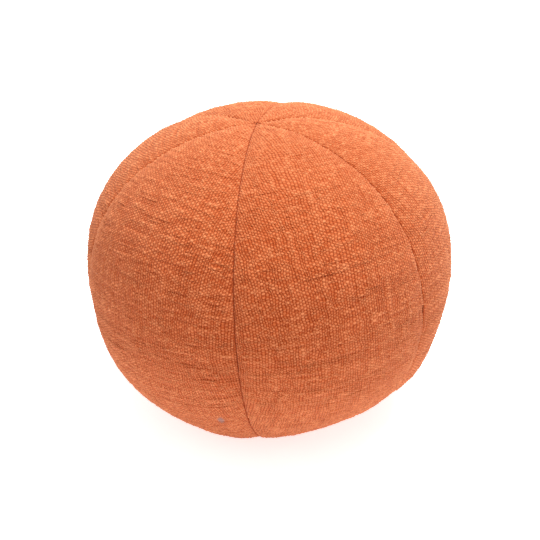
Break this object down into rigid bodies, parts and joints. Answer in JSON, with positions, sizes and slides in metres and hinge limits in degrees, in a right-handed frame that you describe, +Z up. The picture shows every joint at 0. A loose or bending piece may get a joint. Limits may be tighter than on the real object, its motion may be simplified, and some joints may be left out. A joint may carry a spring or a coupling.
{
  "type": "ball cushion",
  "caption": "Stuffed ball cushion: pointed cloth gores sewn edge to edge around one filled body, with drawn-in seams and a small flat spot to rest on.",
  "frame": {"origin": "middle of the bounding box at the height of the flat spot that the ball rests on", "axes": "+Z up, the shortest extent, from the flat spot towards the sewn top; the side seen in the picture faces -Y; +X to its right"},
  "size_m": [0.286, 0.2912, 0.239],
  "materials": {
    "gore_front_right": "matte slub weave",
    "gore_right": "matte slub weave",
    "gore_back_right": "matte slub weave",
    "gore_back_left": "matte slub weave",
    "gore_left": "matte slub weave",
    "gore_front_left": "matte slub weave",
    "cushion_body": "matte"
  },
  "bodies": {
    "root": {"gore_front_right": "gore_front_right", "gore_right": "gore_right", "gore_back_right": "gore_back_right", "gore_back_left": "gore_back_left", "gore_left": "gore_left", "gore_front_left": "gore_front_left", "cushion_body": "cushion_body"}
  },
  "joints": []
}
